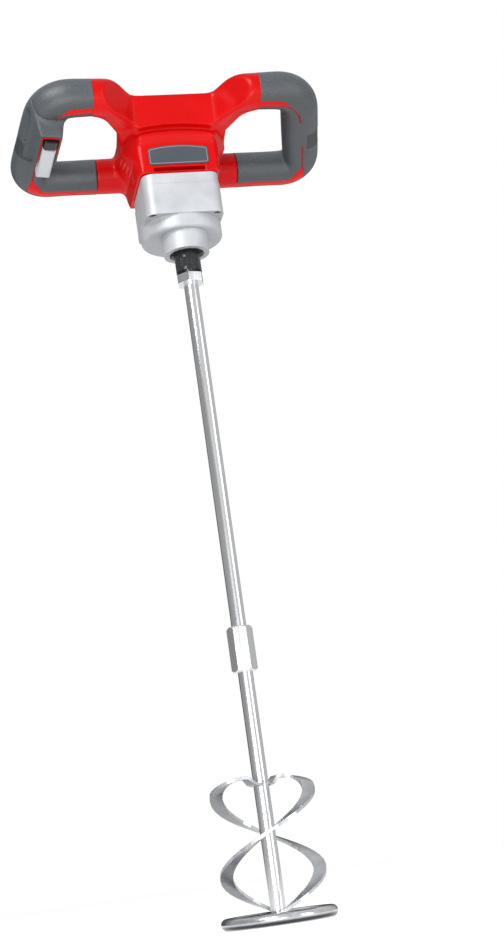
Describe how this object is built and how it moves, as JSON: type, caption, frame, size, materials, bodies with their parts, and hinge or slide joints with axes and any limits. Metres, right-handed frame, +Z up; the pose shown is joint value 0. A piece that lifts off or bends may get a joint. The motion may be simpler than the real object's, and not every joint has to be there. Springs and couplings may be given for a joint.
{
  "type": "paint mixer",
  "caption": "Cordless two-handed paint mixer: motor body between two closed handle loops, alloy gearbox with round neck, and a screw-in helical stirrer with a base ring.",
  "frame": {"origin": "on the spindle axis, inside the gearbox neck collar, 13 mm above its mouth", "axes": "+Z up along the spindle axis to the battery foot, -Z down the stirrer, -Y to the front with the name plate, +X to the right seen from the front"},
  "size_m": [0.3596, 0.158, 0.916],
  "materials": {
    "housing_red": "fine satin moulded plastic",
    "grip_rubber": "fine textured soft grip",
    "band_rubber": "smooth soft grip",
    "plate_slate": "satin",
    "trigger_grey": "satin",
    "black_gloss": "gloss",
    "black_plastic": "matte",
    "board_green": "satin solder mask",
    "alloy": "die-cast, fine blasted",
    "black_steel": "black oxide",
    "bearing_steel": "ground",
    "gear_steel": "machined",
    "seal_rubber": "matte",
    "copper": "copper",
    "carbon": "sintered",
    "zinc": "bright zinc plated, long drawn streaks",
    "zinc_blade": "zinc plated strip"
  },
  "bodies": {
    "machine": {"battery_foot": "black_plastic", "battery_latch": "black_plastic", "battery_terminals": "copper", "brush_holder": "black_plastic", "carbon_brushes": "carbon", "controller_board": "board_green", "gearbox_cover": "alloy", "gearbox_housing": "alloy", "gearbox_screws": "black_steel", "heat_sink": "alloy", "housing_screws": "black_steel", "intermediate_bearing_lower": "bearing_steel", "intermediate_bearing_upper": "bearing_steel", "left_grip": "grip_rubber", "left_grip_band": "band_rubber", "lower_housing": "housing_red", "motor_bearing_front": "bearing_steel", "motor_bearing_rear": "bearing_steel", "motor_can": "gear_steel", "motor_magnets": "carbon", "name_plate": "plate_slate", "right_grip": "grip_rubber", "right_grip_band": "band_rubber", "spindle_bearing_lower": "bearing_steel", "spindle_bearing_upper": "bearing_steel", "spindle_seal": "seal_rubber", "terminal_block": "black_plastic", "trigger_pin": "bearing_steel", "trigger_shroud": "grip_rubber", "trigger_spring": "bearing_steel", "trigger_switch": "black_plastic", "upper_housing": "housing_red"},
    "mixing_spindle": {"spindle": "black_steel", "spindle_gear": "gear_steel", "gear_key": "bearing_steel", "spindle_circlip": "bearing_steel", "stirrer_upper_rod": "zinc", "coupling_nut": "zinc", "stirrer_lower_rod": "zinc", "stirrer_blade_left": "zinc_blade", "stirrer_blade_right": "zinc_blade", "base_ring": "zinc", "base_cross": "zinc"},
    "intermediate": {"intermediate_shaft": "gear_steel", "intermediate_gear": "gear_steel"},
    "motor_rotor": {"motor_shaft": "gear_steel", "motor_pinion": "gear_steel", "armature_core": "gear_steel", "armature_windings": "copper", "commutator": "copper", "cooling_fan": "black_plastic"},
    "trigger_lever": {"trigger": "trigger_grey"},
    "lock_button": {"lock_off_button": "black_gloss"}
  },
  "joints": [
    {"name": "spindle_spin", "type": "hinge", "parent": "machine", "child": "mixing_spindle", "pos_m": [0, 0, 0], "axis": [0, 0, 1], "continuous": true},
    {"name": "intermediate_spin", "type": "hinge", "parent": "machine", "child": "intermediate", "pos_m": [0, 0.03, 0.045], "axis": [0, 0, 1], "continuous": true},
    {"name": "rotor_spin", "type": "hinge", "parent": "machine", "child": "motor_rotor", "pos_m": [0, 0.00705, 0.1], "axis": [0, 0, 1], "continuous": true},
    {"name": "trigger_squeeze", "type": "hinge", "parent": "machine", "child": "trigger_lever", "pos_m": [-0.14387, -0.02828, 0.11306], "axis": [0.9877, 0.1483, -0.0498], "range_deg": [0, 7], "stiffness_Nm_per_rad": 1.2, "springref_deg": -3.44, "deforming": ["trigger_spring"]},
    {"name": "lock_off_press", "type": "slide", "parent": "machine", "child": "lock_button", "axis": [0, 0.3186, 0.9479], "range_m": [0, 0.003], "stiffness_N_per_m": 300, "springref_m": -0.003}
  ],
  "couplings": [
    {"joint": "intermediate_spin", "follows": "spindle_spin", "ratio": -4.3333},
    {"joint": "rotor_spin", "follows": "spindle_spin", "ratio": 20.222}
  ]
}
